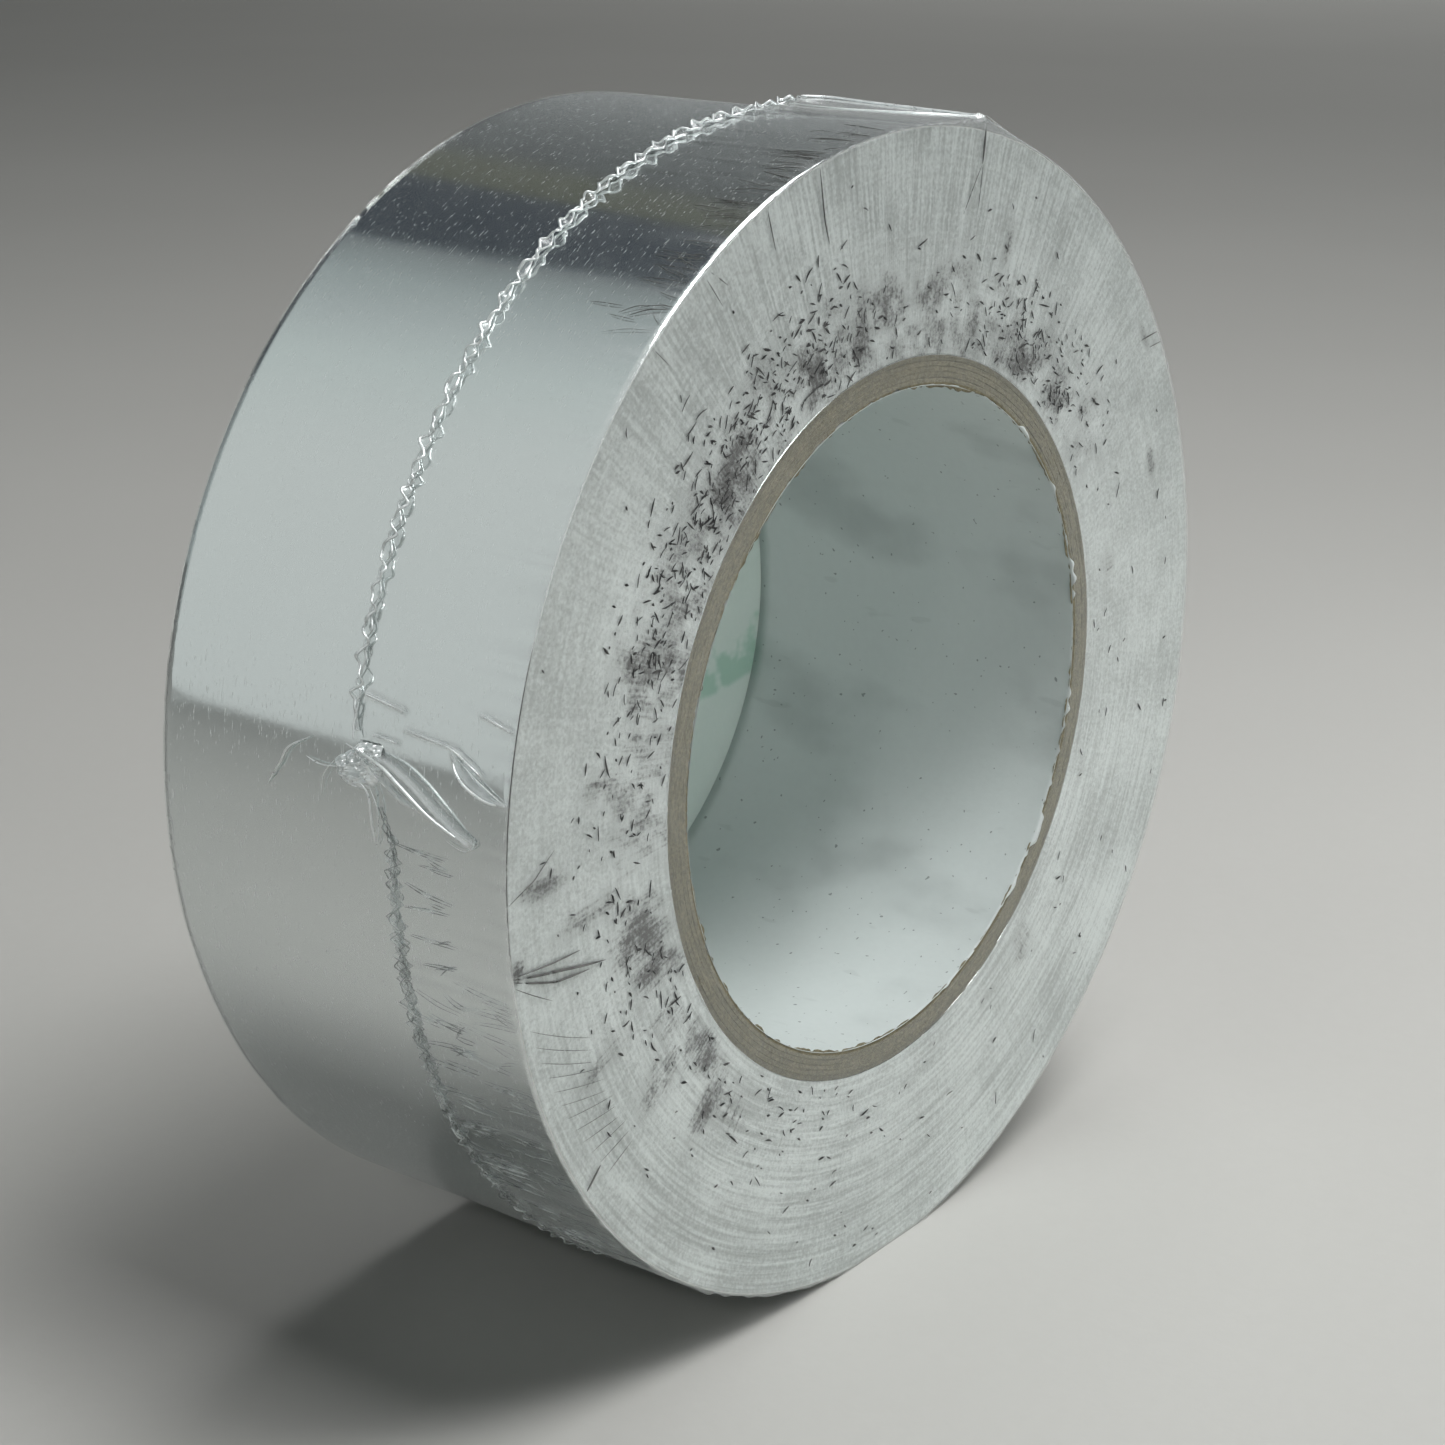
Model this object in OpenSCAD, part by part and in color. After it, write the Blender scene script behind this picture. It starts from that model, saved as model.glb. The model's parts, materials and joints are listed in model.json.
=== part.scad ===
// Roll of aluminium foil tape on a spiral-wound paper core, standing on its rim in clear shrink film.
// The bore lies along Y, and its open end faces -Y, the front. The origin is the middle of the roll.
// Directions round the rim are anticlockwise from +X, as seen from the front.

/* [Roll] */
// Outside diameter of the wound tape
roll_d = 134; // [110:1:170]
// Width of the tape and of the core
tape_w = 48; // [36:1:75]
// How deep the rim is pressed flat where the roll stands
contact_depth = 0.3; // [0.2:0.05:0.6]

/* [Core] */
// Bore of the paper core
core_bore_d = 77; // [60:0.5:82]
// Thickness of the white lining ply
lining_t = 0.3; // [0.1:0.05:0.5]
// Thickness of each kraft ply
core_ply_t = 0.62; // [0.4:0.02:0.8]
// Number of kraft plies
core_plies = 5; // [3:1:8]

/* [Tape] */
// Thickness of the foil backing
foil_t = 0.05; // [0.03:0.01:0.08]
// Thickness of the adhesive
adhesive_t = 0.04; // [0.02:0.01:0.06]
// Thickness of the release liner
liner_t = 0.1; // [0.06:0.01:0.15]

/* [Shrink film] */
// Thickness of the film
film_t = 0.05; // [0.03:0.01:0.1]
// How far the edge of the film's hole stands back from the bore
film_hole_margin = 0.4; // [0.2:0.1:1.5]
// Direction of the film's left corner
left_corner_angle = 172; // [165:1:176]
// Distance from the front face to the fold, on the upper right side
fold_from_front = 20; // [12:0.2:24]
// Distance from the front face to the seal on the upper left side
upper_seal_from_front = 20.6; // [12:0.2:24]
// Distance from the front face to the seal on the lower left side
lower_seal_from_front = 15; // [12:0.2:24]
// Distance from the front face to the seal on the lower right side
right_seal_from_front = 18; // [12:0.2:24]
// Height of the crimped bead along a seal
bead_r = 0.8; // [0.4:0.1:1.2]

/* [Film corners] */
// Length of a bunched corner along the rim
ear_l = 12; // [6:1:18]
// Height of a bunched corner above the film
ear_h = 1.8; // [1:0.1:3]
// Width of a bunched corner across the rim
ear_w = 6; // [4:0.5:8]
// Distance from the front face to the middle of the top corner
top_corner_from_front = 5; // [4:0.5:20]
// Thickness of the corner that is pressed flat under the roll
flat_ear_t = 0.2; // [0.1:0.05:0.25]

/* [Label] */
// Thickness of the label card behind the rear film
label_t = 0.25; // [0.15:0.05:0.5]
// Distance from the rim to the edge of the card
label_margin = 12; // [4:1:18]

/* [Hidden] */
$fn = 180;

// Room that a cutter runs past what it cuts
over = 1;
front = tape_w / 2;
back = -tape_w / 2;

core_bore_r = core_bore_d / 2;
// Inner radius of each kraft ply, and past the last one the outer radius of the core
function ply_r(ply) = core_bore_r + lining_t + (ply - 1) * core_ply_t;
core_r = ply_r(core_plies + 1);

// The first lap is tape without its liner, stuck to the core
start_lap_t = foil_t + adhesive_t;
tape_t = foil_t + adhesive_t + liner_t;

// The tape is wound as two half turns, and the second half turn is centred half a tape thickness
// nearer to the free end. A radius given as r belongs to the first half turn.
end_angle = left_corner_angle - 180;
second_centre = tape_t / 2 * [cos(end_angle), sin(end_angle)];
function second_r(r) = r + tape_t / 2;
foil_r = (roll_d - tape_t) / 2;
adhesive_r = foil_r - foil_t;
liner_r = adhesive_r - adhesive_t;
laps_r = liner_r - liner_t;
film_r = foil_r + film_t;

// Height at which a layer is pressed flat by what the roll stands on
function patch_z(r) = second_centre.y - second_r(r) + contact_depth;
floor_z = patch_z(film_r);

// The film is a folded sheet, sealed on three sides, so it has four corners round the rim
function corner_angle(corner) = end_angle + 90 * corner;
side_from_front = [fold_from_front, upper_seal_from_front, lower_seal_from_front, right_seal_from_front];
function is_second(angle) = angle >= left_corner_angle;
// A corner lies between the seals of its two sides, apart from the top one, which shrank to the front
function ear_from_front(corner) =
    corner == 1 ? top_corner_from_front : (side_from_front[corner] + side_from_front[(corner + 3) % 4]) / 2;

// Angles round the rim that an ear covers, and that stay clear of the floor
ear_angle = ear_l / film_r * 180 / PI;
seal_gap_angle = ear_angle / 2 + 1;
clear_angle = acos(-floor_z / (second_r(film_r) + bead_r)) + 2;

// Turns what is drawn flat, seen from the front, to stand with its height towards the front
module stand() {
    rotate([90, 0, 0]) children();
}

// Everything under a height, as a cutter
module under(z, low, high) {
    translate([-roll_d, z - roll_d, low - over]) cube([2 * roll_d, roll_d, high - low + 2 * over]);
}

// Disc out to one half turn of the winding, pressed flat at the foot
module half_turn_disc(r, second, low, high) {
    if (second) {
        difference() {
            translate([second_centre.x, second_centre.y, low]) cylinder(r = second_r(r), h = high - low);
            under(patch_z(r), low, high);
        }
    } else {
        translate([0, 0, low]) cylinder(r = r, h = high - low);
    }
}

// Slice of a turn, as a cutter that starts at an angle
module slice(angle, sweep, low, high) {
    centre = is_second(angle) ? second_centre : [0, 0];
    translate([centre.x, centre.y, low])
        rotate_extrude(angle = sweep, start = angle) square([roll_d, high - low]);
}

// Solid part of the winding, out to r
module wound_slice(r, angle, sweep, low, high) {
    intersection() {
        half_turn_disc(r, is_second(angle), low, high);
        slice(angle, sweep, low - over, high + over);
    }
}

// Whole winding out to r, with its step at the free end
module wound(r, low, high) {
    wound_slice(r, end_angle, 180, low, high);
    wound_slice(r, left_corner_angle, 180, low, high);
}

// Part of one layer, from its inner radius to its outer
module layer_slice(inner, outer, angle, sweep, low, high) {
    intersection() {
        difference() {
            half_turn_disc(outer, is_second(angle), low, high);
            half_turn_disc(inner, is_second(angle), low - over, high + over);
        }
        slice(angle, sweep, low - over, high + over);
    }
}

// Strip of the outermost lap, from the free end back to where it goes under itself
module outer_strip(inner, outer) {
    stand() {
        layer_slice(inner, outer, end_angle, 180, back, front);
        layer_slice(inner, outer, left_corner_angle, 180, back, front);
    }
}

module ring(inner, outer) {
    stand() difference() {
        translate([0, 0, back]) cylinder(r = outer, h = tape_w);
        translate([0, 0, back - over]) cylinder(r = inner, h = tape_w + 2 * over);
    }
}

module core_lining() {
    color("gainsboro") ring(core_bore_r, ply_r(1));
}

module core_ply(ply) {
    color("tan") ring(ply_r(ply), ply_r(ply + 1));
}

module tape_start_lap() {
    color("silver") ring(core_r, core_r + start_lap_t);
}

module tape_laps() {
    color("lightgray") stand() difference() {
        wound(laps_r, back, front);
        translate([0, 0, back - over]) cylinder(r = core_r + start_lap_t, h = tape_w + 2 * over);
    }
}

module outer_liner() {
    color("white") outer_strip(laps_r, liner_r);
}

module outer_adhesive() {
    color("whitesmoke") outer_strip(liner_r, adhesive_r);
}

module outer_foil() {
    color("silver") outer_strip(adhesive_r, foil_r);
}

module label_card() {
    color("honeydew") stand()
        translate([0, 0, back - label_t]) cylinder(r = roll_d / 2 - label_margin, h = label_t);
}

// Films meet along the seals: the front one wraps the face and the rim as far as each seal
module front_film() {
    color("lightcyan", 0.4) stand() {
        difference() {
            wound(film_r, front, front + film_t);
            translate([0, 0, front - over])
                cylinder(r = core_bore_r + film_hole_margin, h = film_t + 2 * over);
        }
        for (side = [0 : 3])
            layer_slice(foil_r, film_r, corner_angle(side), 90, front - side_from_front[side], front);
    }
}

module rear_film() {
    low = back - label_t;
    color("lightcyan", 0.4) stand() {
        wound(film_r, low - film_t, low);
        for (side = [0 : 3])
            layer_slice(foil_r, film_r, corner_angle(side), 90, low, front - side_from_front[side]);
    }
}

// Crimped bead along one seal, between two angles
module seal(side, from_angle, to_angle) {
    centre = is_second(from_angle) ? second_centre : [0, 0];
    base_r = is_second(from_angle) ? second_r(film_r) : film_r;
    color("white", 0.8) stand()
        translate([centre.x, centre.y, front - side_from_front[side]])
            rotate_extrude(angle = to_angle - from_angle, start = from_angle) intersection() {
                translate([base_r, 0]) circle(r = bead_r);
                translate([base_r, -bead_r]) square(2 * bead_r);
            }
}

module upper_left_seal() {
    seal(1, corner_angle(1) + seal_gap_angle, corner_angle(2) - seal_gap_angle);
}

module lower_left_seal() {
    to_angle = min(corner_angle(3) - ear_angle - 1, 270 - clear_angle);
    seal(2, corner_angle(2) + seal_gap_angle, to_angle);
}

module lower_right_seal() {
    from_angle = max(corner_angle(3) + seal_gap_angle, 270 + clear_angle);
    seal(3, from_angle, corner_angle(4) - seal_gap_angle);
}

// Bunched corner of the film: a low mound on the rim, as long as the ear, over the half turn that it rests on
module ear(corner, second) {
    rim_sagitta = ear_l * ear_l / (8 * film_r);
    rise = ear_h + rim_sagitta;
    mound_r = (ear_l * ear_l / 4 + rise * rise) / (2 * rise);
    low = front - ear_from_front(corner) - ear_w / 2;
    color("white", 0.8) stand() difference() {
        rotate([0, 0, corner_angle(corner)])
            translate([film_r + ear_h - mound_r, 0, low]) cylinder(r = mound_r, h = ear_w);
        half_turn_disc(film_r, second, low - over, low + ear_w + over);
    }
}

module right_corner() {
    ear(0, true);
}

module top_corner() {
    ear(1, false);
}

module left_corner() {
    ear(2, true);
}

// The last corner lies under the roll, pressed flat against the rim
module bottom_corner() {
    low = front - ear_from_front(3) - ear_w / 2;
    high = low + ear_w;
    color("white", 0.8) stand() difference() {
        layer_slice(film_r, film_r + flat_ear_t, corner_angle(3) - ear_angle, ear_angle, low, high);
        under(floor_z, low, high);
    }
}

core_lining();
for (ply = [1 : core_plies]) core_ply(ply);
tape_start_lap();
tape_laps();
outer_liner();
outer_adhesive();
outer_foil();
label_card();
front_film();
rear_film();
upper_left_seal();
lower_left_seal();
lower_right_seal();
right_corner();
top_corner();
left_corner();
bottom_corner();
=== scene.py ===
import json
import math
import bpy
import numpy as np
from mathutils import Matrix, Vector


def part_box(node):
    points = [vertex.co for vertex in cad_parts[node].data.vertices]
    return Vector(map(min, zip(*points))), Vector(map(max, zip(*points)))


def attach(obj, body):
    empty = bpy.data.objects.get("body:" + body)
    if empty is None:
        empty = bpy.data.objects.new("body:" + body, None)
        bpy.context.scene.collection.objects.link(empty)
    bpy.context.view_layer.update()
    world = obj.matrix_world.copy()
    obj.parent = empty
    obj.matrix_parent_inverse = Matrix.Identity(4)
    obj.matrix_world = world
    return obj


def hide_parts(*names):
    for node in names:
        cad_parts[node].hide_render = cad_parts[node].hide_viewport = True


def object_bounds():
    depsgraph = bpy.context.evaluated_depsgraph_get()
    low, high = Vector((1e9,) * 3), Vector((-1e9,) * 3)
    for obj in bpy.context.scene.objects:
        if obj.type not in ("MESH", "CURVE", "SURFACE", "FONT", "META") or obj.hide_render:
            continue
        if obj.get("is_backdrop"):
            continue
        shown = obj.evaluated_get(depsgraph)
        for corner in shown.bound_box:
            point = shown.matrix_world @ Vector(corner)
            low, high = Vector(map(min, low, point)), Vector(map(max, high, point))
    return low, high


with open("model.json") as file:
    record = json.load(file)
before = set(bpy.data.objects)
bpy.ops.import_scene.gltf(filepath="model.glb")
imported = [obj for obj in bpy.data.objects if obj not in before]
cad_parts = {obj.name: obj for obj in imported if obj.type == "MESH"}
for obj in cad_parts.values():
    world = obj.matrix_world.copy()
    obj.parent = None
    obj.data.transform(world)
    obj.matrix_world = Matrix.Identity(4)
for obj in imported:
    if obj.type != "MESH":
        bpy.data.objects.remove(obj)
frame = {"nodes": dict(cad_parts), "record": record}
cad_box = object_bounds()


# ---- Core lining ---------------------------------------------------------------------------------
# The innermost ply of the core is smooth white paper, wound together with the kraft plies. The saw
# that cut the core to length left the paper's front edge torn, and turned out over the brown board.

MM = 0.001
bore_mount = next(mount for mount in frame["record"]["mounts"] if mount["name"] == "core_bore")
bore_r = bore_mount["dims"]["r_mm"] * MM
lining_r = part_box("core_lining")[1].x
front_y, back_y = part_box("core_lining")[0].y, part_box("core_lining")[1].y
width = back_y - front_y
floor_z = cad_box[0].z


def round_the_roll(columns):
    """Angles round the bore, from +X towards +Z, one for each column of a mesh."""
    return np.linspace(0, 2 * math.pi, columns, endpoint=False)[None, :]


def down(*values):
    """Values along a section, one for each row of a mesh."""
    return np.concatenate([np.atleast_1d(value) for value in values]).astype(float)[:, None]


def polar(radius, angle, depth):
    """Grid of points from radii, angles round the bore and depths along it."""
    radius, angle, depth = np.broadcast_arrays(radius, angle, depth)
    return np.stack([radius * np.cos(angle), depth, radius * np.sin(angle)], axis=-1)


def rough(seed, around, across, angle, run):
    """Smooth random height from -1 to 1, with cells round the roll and across a run from 0 to 1."""
    net = np.random.default_rng(seed).uniform(-1, 1, (across + 2, around))
    column, row = (angle / (2 * math.pi)) % 1 * around, np.clip(run, 0, 1) * across
    left, low = np.floor(column).astype(int), np.floor(row).astype(int)
    u, v = column - left, row - low
    u, v = u * u * (3 - 2 * u), v * v * (3 - 2 * v)
    left, right = left % around, (left + 1) % around
    near = net[low, left] * (1 - u) + net[low, right] * u
    far = net[low + 1, left] * (1 - u) + net[low + 1, right] * u
    return near * (1 - v) + far * v


def placed(name, data):
    """New object in the scene, made from a mesh, a lamp or a camera."""
    made = bpy.data.objects.new(name, data)
    bpy.context.scene.collection.objects.link(made)
    return made


def skin(name, points, closed_section=False, closed_turn=True):
    """Smooth mesh through a grid of points; it faces the way that right-handed rows and columns give."""
    points = np.concatenate([points[..., :2], np.maximum(points[..., 2:], floor_z)], axis=-1)
    rows, columns = points.shape[:2]
    index = np.arange(rows * columns).reshape(rows, columns)
    if closed_turn:
        index = np.hstack([index, index[:, :1]])
    if closed_section:
        index = np.vstack([index, index[:1]])
    faces = np.stack([index[:-1, :-1], index[:-1, 1:], index[1:, 1:], index[1:, :-1]], axis=-1)
    mesh = bpy.data.meshes.new(name)
    mesh.from_pydata(points.reshape(-1, 3).tolist(), [], faces.reshape(-1, 4).tolist())
    mesh.shade_smooth()
    return placed(name, mesh)


class Flow:
    """Output of a shader node that arithmetic works on: each operation adds a Math node."""

    def __init__(self, finish, socket):
        self.finish, self.socket = finish, socket

    def __add__(self, other):
        return self.finish.maths("ADD", self, other)

    def __sub__(self, other):
        return self.finish.maths("SUBTRACT", self, other)

    def __rsub__(self, other):
        return self.finish.maths("SUBTRACT", other, self)

    def __mul__(self, other):
        return self.finish.maths("MULTIPLY", self, other)

    def __truediv__(self, other):
        return self.finish.maths("DIVIDE", self, other)

    def __pow__(self, other):
        return self.finish.maths("POWER", self, other)

    __radd__, __rmul__ = __add__, __mul__


def set_stops(ramp, stops):
    """Gives a colour ramp its stops, each a place from 0 to 1 and a colour. The first is at 0."""
    ramp.elements.remove(ramp.elements[1])
    for number, (place, colour) in enumerate(stops):
        element = ramp.elements.new(place) if number else ramp.elements[0]
        element.color = (*colour, 1)


class Finish:
    """Nodes of a material or of the room. A material's places are in metres, in the roll's frame."""

    def __init__(self, name, kind="materials", place="Object"):
        self.owner = getattr(bpy.data, kind).new(name)
        self.owner.use_nodes = True
        self.tree = self.owner.node_tree
        self.tree.nodes.clear()
        self.place = self.node("ShaderNodeTexCoord", {}, {}, place)

    def node(self, kind, settings, sockets, out=0):
        """Adds a node with its settings, then its sockets, and gives one of its outputs, if it has any."""
        made = self.tree.nodes.new(kind)
        for key, value in settings.items():
            if key == "stops":
                set_stops(made.color_ramp, value)
            else:
                setattr(made, key, value)
        for key, value in sockets.items():
            if isinstance(value, Flow):
                self.tree.links.new(value.socket, made.inputs[key])
            else:
                made.inputs[key].default_value = value
        return Flow(self, made.outputs[out]) if made.outputs else None

    def maths(self, operation, first, second=0.0):
        return self.node("ShaderNodeMath", {"operation": operation}, {0: first, 1: second})

    def part(self, axis):
        """Place along one axis."""
        return self.node("ShaderNodeSeparateXYZ", {}, {0: self.place}, axis)

    def reach(self):
        """Distance from the bore's axis."""
        return (self.part("X") * self.part("X") + self.part("Z") * self.part("Z")) ** 0.5

    def stretched(self, x, y, z):
        """The place, with each axis multiplied by its number."""
        return self.node("ShaderNodeVectorMath", {"operation": "MULTIPLY"}, {0: self.place, 1: (x, y, z)})

    def ring_place(self, round_scale, out_scale, depth_scale=0.0):
        """Place for a pattern that follows the laps: round the bore, out from it and along it."""
        reach = self.reach()
        return self.node("ShaderNodeCombineXYZ", {}, {
            "X": self.part("X") / reach * round_scale + self.part("Y") * depth_scale,
            "Y": reach * out_scale,
            "Z": self.part("Z") / reach * round_scale})

    def noise(self, place, scale, detail=2.0):
        return self.node("ShaderNodeTexNoise", {}, {"Vector": place, "Scale": scale, "Detail": detail})

    def between(self, value, low, high):
        """0 below low, 1 above high, and smooth in between."""
        return self.node("ShaderNodeMapRange", {"interpolation_type": "SMOOTHSTEP"},
                         {"Value": value, "From Min": low, "From Max": high})

    def blend(self, share, first, second):
        """Colour that goes from the first to the second as share goes from 0 to 1."""
        return self.node("ShaderNodeMix", {"data_type": "RGBA"}, {0: share, 6: first, 7: second}, 2)

    def kept(self, name):
        """Number that each point of the mesh carries under a name."""
        return self.node("ShaderNodeAttribute", {"attribute_name": name}, {}, "Fac")

    def bump(self, height, distance):
        return self.node("ShaderNodeBump", {}, {"Height": height, "Distance": distance})

    def principled(self, sockets):
        return self.node("ShaderNodeBsdfPrincipled", {}, sockets)

    def done(self, shader, output="ShaderNodeOutputMaterial"):
        """Closes the nodes with their shader, and gives the material or the room."""
        self.node(output, {}, {"Surface": shader})
        return self.owner


def dress(piece, material):
    """Gives a piece one material all over."""
    piece.data.materials.clear()
    piece.data.materials.append(material)


def finish_piece(piece, material, slot, *nodes):
    """Dresses a piece, fixes it to the roll and lets it stand for its solid nodes."""
    dress(piece, material)
    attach(piece, "root")
    if nodes:
        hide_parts(*nodes)


def lining_paper():
    """White paper, rubbed grey in soft patches, with a faint grain and dark specks."""
    paper = Finish("lining_paper")
    patches = paper.between(paper.noise(paper.stretched(1, 0.6, 1), 60.0, 3.0), 0.5, 0.72)
    grain = paper.noise(paper.place, 900.0, 3.0)
    scuffs = paper.between(paper.noise(paper.stretched(1, 0.3, 1), 420.0, 2.0), 0.68, 0.74)
    specks = paper.between(paper.noise(paper.place, 1300.0, 1.0), 0.74, 0.77)
    wear = patches * 0.42 + scuffs * 0.14 + grain * 0.08 + specks * 0.9
    base = paper.blend(wear, (0.6, 0.65, 0.64, 1), (0.26, 0.292, 0.287, 1))
    normal = paper.bump(grain + patches * 0.5, 0.00003)
    return paper.done(paper.principled({
        "Base Color": base, "Roughness": 0.5 + grain * 0.2, "Normal": normal}))


angle = round_the_roll(900)
wall_run = np.linspace(0, 1, 26)[:, None]
torn = np.clip(rough(3, 60, 1, angle, 0) * 0.9 + rough(4, 230, 1, angle, 0) * 0.7, 0, 1)
most_torn = math.radians(2)
torn = torn * np.clip(np.cos(angle - most_torn) * 1.4 - 0.1, 0.04, 1)
curl = (0.06 + 0.6 * torn) * MM
lift = (0.02 + 0.4 * torn) * MM
torn_depth = 0.3 * MM
wall_r = bore_r + 0.05 * MM * rough(5, 14, 4, angle, wall_run) ** 2
wall_y = front_y + torn_depth + (width - torn_depth) * wall_run
wall = polar(wall_r, angle, wall_y)
lip_y = front_y - lift
section = np.concatenate([
    wall,
    polar(lining_r, angle, down(back_y, front_y + 0.2 * MM)),
    polar(bore_r + 0.3 * curl, angle, lip_y + 0.07 * MM),
    polar(bore_r + curl + 0.03 * MM, angle, lip_y + 0.05 * MM),
    polar(bore_r + curl, angle, lip_y),
    polar(bore_r + 0.5 * curl, angle, lip_y - 0.02 * MM),
    polar(bore_r + 0.1 * MM, angle, lip_y),
    polar(bore_r + 0.02 * MM, angle, front_y - 0.02 * MM),
])
lining = skin("core_lining_paper", section, closed_section=True)
finish_piece(lining, lining_paper(), "core_lining", "core_lining")


# ---- Kraft plies ---------------------------------------------------------------------------------
# Five plies of brown kraft board make the core's wall. They were sawn to length together, so the
# cut is level but fuzzy, and each ply's end stands a little higher or lower than the next one's.

ply_nodes = sorted(node for node in frame["nodes"] if node.startswith("core_ply_"))
ply_shades = (1.0, 0.97, 1.02, 0.98, 0.8)
ply_rounding = 0.09 * MM


def kraft_board(shade):
    """Brown board whose cut end shows pale and dark fibres along the ply."""
    board = Finish("kraft_board")
    fibres = board.noise(board.ring_place(60.0, 2500.0, 300.0), 1.6, 4.0)
    grain = board.noise(board.place, 1400.0, 3.0)
    tone = board.between(fibres * 0.7 + grain * 0.4, 0.35, 0.8)
    dark, pale = [(red * shade, green * shade, blue * shade, 1)
                  for red, green, blue in ((0.115, 0.104, 0.062), (0.24, 0.217, 0.138))]
    base = board.blend(tone, dark, pale)
    normal = board.bump(fibres * 0.5 + grain, 0.00012)
    return board.done(board.principled({
        "Base Color": base, "Roughness": 0.75 + grain * 0.2, "Normal": normal}))


angle = round_the_roll(720)
cut_share = np.linspace(0.94, 0.06, 7)[:, None]
frayed = (0.34 + 0.26 * rough(60, 120, 1, angle, 0) + 0.2 * rough(61, 400, 1, angle, 0)) * MM
inner = lining_r
for count, node in enumerate(ply_nodes):
    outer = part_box(node)[1].x
    level = front_y - 0.05 * MM * rough(20 + count, 40, 1, angle, 0) - 0.015 * MM * (count % 2)
    fuzz = 0.05 * MM * rough(40 + count, 240, 8, angle, np.linspace(0, 1, 7)[:, None])
    start = inner - frayed * (count == 0)
    section = np.concatenate([
        polar(start, angle, front_y + 0.05 * MM),
        polar(inner, angle, down(front_y + 0.08 * MM, back_y - ply_rounding)),
        polar(down(inner + ply_rounding, outer - ply_rounding), angle, back_y),
        polar(outer, angle, down(back_y - ply_rounding, front_y + 0.12 * MM)),
        polar(start + (outer - start) * cut_share, angle, level + fuzz),
    ])
    ply = skin(f"kraft_ply_{count + 1}", section, closed_section=True)
    finish_piece(ply, kraft_board(ply_shades[count % len(ply_shades)]), "core_kraft", node)
    inner = outer
core_r = inner


# ---- Wound tape ----------------------------------------------------------------------------------
# About 130 laps of aluminium foil, adhesive and white release liner, slit to width with the roll
# already wound. Each lap's cut edge stands a hair above or below the next, and the slitting knife
# left streaks across the laps, and dark smears and rubbed patches near the core.

first_lap_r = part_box("tape_start_lap")[1].x
laps_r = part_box("tape_laps")[1].z
foil_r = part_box("outer_foil")[1].z
tape_t = foil_r - laps_r
lap_count = round((laps_r - first_lap_r) / tape_t)
free_end = math.radians(-8)


def wound_radius(radius, angle, foot_z):
    """Radius of a layer that climbs by one tape thickness in the second half turn, flat at the foot."""
    along = (angle - free_end) % (2 * math.pi)
    climb = np.where(along > math.pi, tape_t / 2 * (1 + np.cos(along)), 0)
    foot = np.where(np.sin(angle) < -0.9, foot_z / np.minimum(np.sin(angle), -0.9), np.inf)
    return np.minimum(radius + climb, foot)


def smear(angle, radius, at_degrees, at_radius, length, breadth):
    """1 at the middle of a soft mark that lies along the radius, 0 away from it."""
    turned = (angle - math.radians(at_degrees) + math.pi) % (2 * math.pi) - math.pi
    side, out = turned * radius / (breadth * MM), (radius - at_radius * MM) / (length * MM)
    return np.exp(-side ** 2 - out ** 2)


# Each smear: degrees round the bore, mm from its axis, half length and half breadth in mm, darkness.
SMEARS = [
    (68.3, 56, 2.6, 0.9, 0.75), (19, 59.4, 1.3, 2.2, 0.7), (34, 64, 0.8, 2.6, 0.6),
    (11, 47, 1.5, 2.0, 0.5), (168, 46.5, 2.6, 1.9, 0.65), (193, 49, 3.4, 3.2, 0.5),
    (308, 47, 2.6, 2.6, 0.45), (217, 45, 2.2, 3.4, 0.85), (36, 48.5, 3.4, 2.4, 0.4),
    (95, 46, 3.4, 5.5, 0.22), (80, 46, 2.5, 2.4, 0.3), (150, 45, 2.6, 4.4, 0.2),
    (58, 47, 2.6, 3.0, 0.2), (246, 60, 1.0, 4.0, 0.2), (187, 66.0, 1.1, 1.3, 0.9),
    (180.3, 61.5, 3.6, 1.3, 0.9), (203, 58, 4.5, 2.0, 0.5), (224, 50, 4.5, 1.6, 0.65),
    (158, 51, 4.0, 2.4, 0.32), (172, 53, 3.4, 2.0, 0.42), (199, 46, 3.0, 2.2, 0.6),
    (213, 53, 4.6, 2.4, 0.55), (231, 47, 3.2, 3.0, 0.45), (44, 45, 2.4, 3.0, 0.25),
    (120, 51, 3.4, 3.0, 0.25), (186, 56, 5.0, 1.6, 0.5), (112, 45, 3.2, 6.0, 0.2),
    (130, 46, 3.6, 5.0, 0.2), (64, 46, 3.0, 4.0, 0.15), (288, 54, 2.4, 4.0, 0.16),
    (355, 55, 3.4, 5.4, 0.14), (140, 60, 3.0, 6.0, 0.14), (330, 61, 2.5, 4.0, 0.16),
]
band_start_mm, band_run_mm = 42, 25


def soil(angle, radius):
    """How dark the slit edges are: a rubbed band beside the core, and separate smears."""
    out = (radius / MM - band_start_mm) / band_run_mm
    top = np.clip(np.cos(angle - math.radians(110)) * 1.3 + 0.1, 0, 1)
    low_left = smear(angle, radius, 205, 48, 7, 14)
    band = np.exp(-((out - 0.16) / 0.27) ** 2) * (0.62 * top + 0.45 * low_left + 0.12)
    mottle = 0.55 + 0.4 * rough(81, 64, 7, angle, out) + 0.45 * rough(82, 210, 16, angle, out)
    total = band * np.clip(mottle, 0, 1.6)
    for *place, darkness in SMEARS:
        total = total + darkness * smear(angle, radius, *place) * (0.6 + 0.5 * mottle)
    return np.clip(total, 0, 1)


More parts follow.
